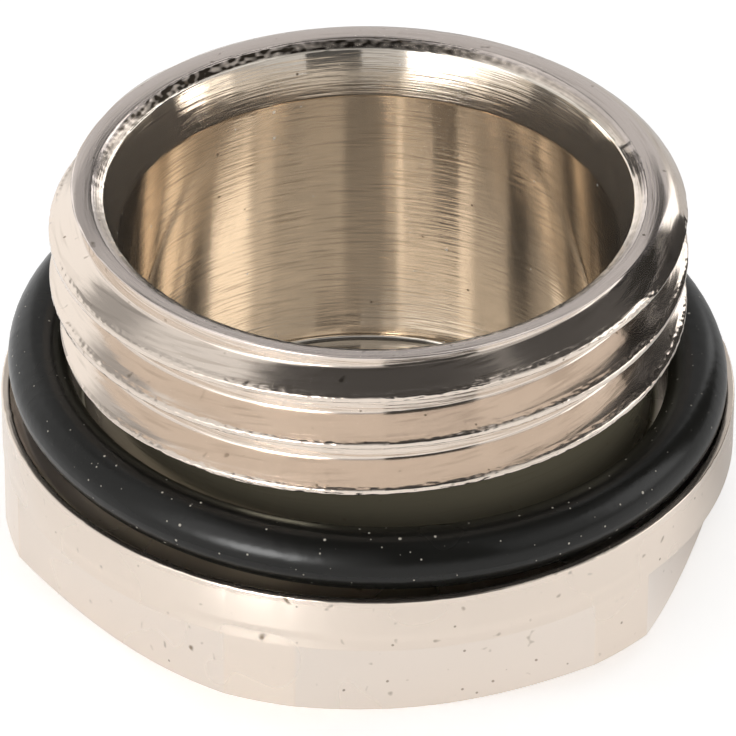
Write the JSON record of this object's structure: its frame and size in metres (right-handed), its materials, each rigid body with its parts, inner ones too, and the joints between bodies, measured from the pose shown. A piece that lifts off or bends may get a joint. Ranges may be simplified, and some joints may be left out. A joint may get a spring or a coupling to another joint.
{
  "type": "radiator blanking plug",
  "caption": "Screw plug with a hollow threaded spigot, a hexagon head with a round collar, and a rubber seal ring under the thread.",
  "frame": {"origin": "centre of the head's outer face, which it stands on", "axes": "+Z along the axis of the thread, towards the open mouth of the spigot; -Y square to one of the head's six flats"},
  "size_m": [0.0242, 0.0242, 0.013],
  "materials": {
    "nickel": "nickel plated over turned brass, satin",
    "rubber": "moulded, slightly dusty"
  },
  "bodies": {
    "root": {"plug_body": "nickel", "o_ring": "rubber"}
  },
  "joints": []
}
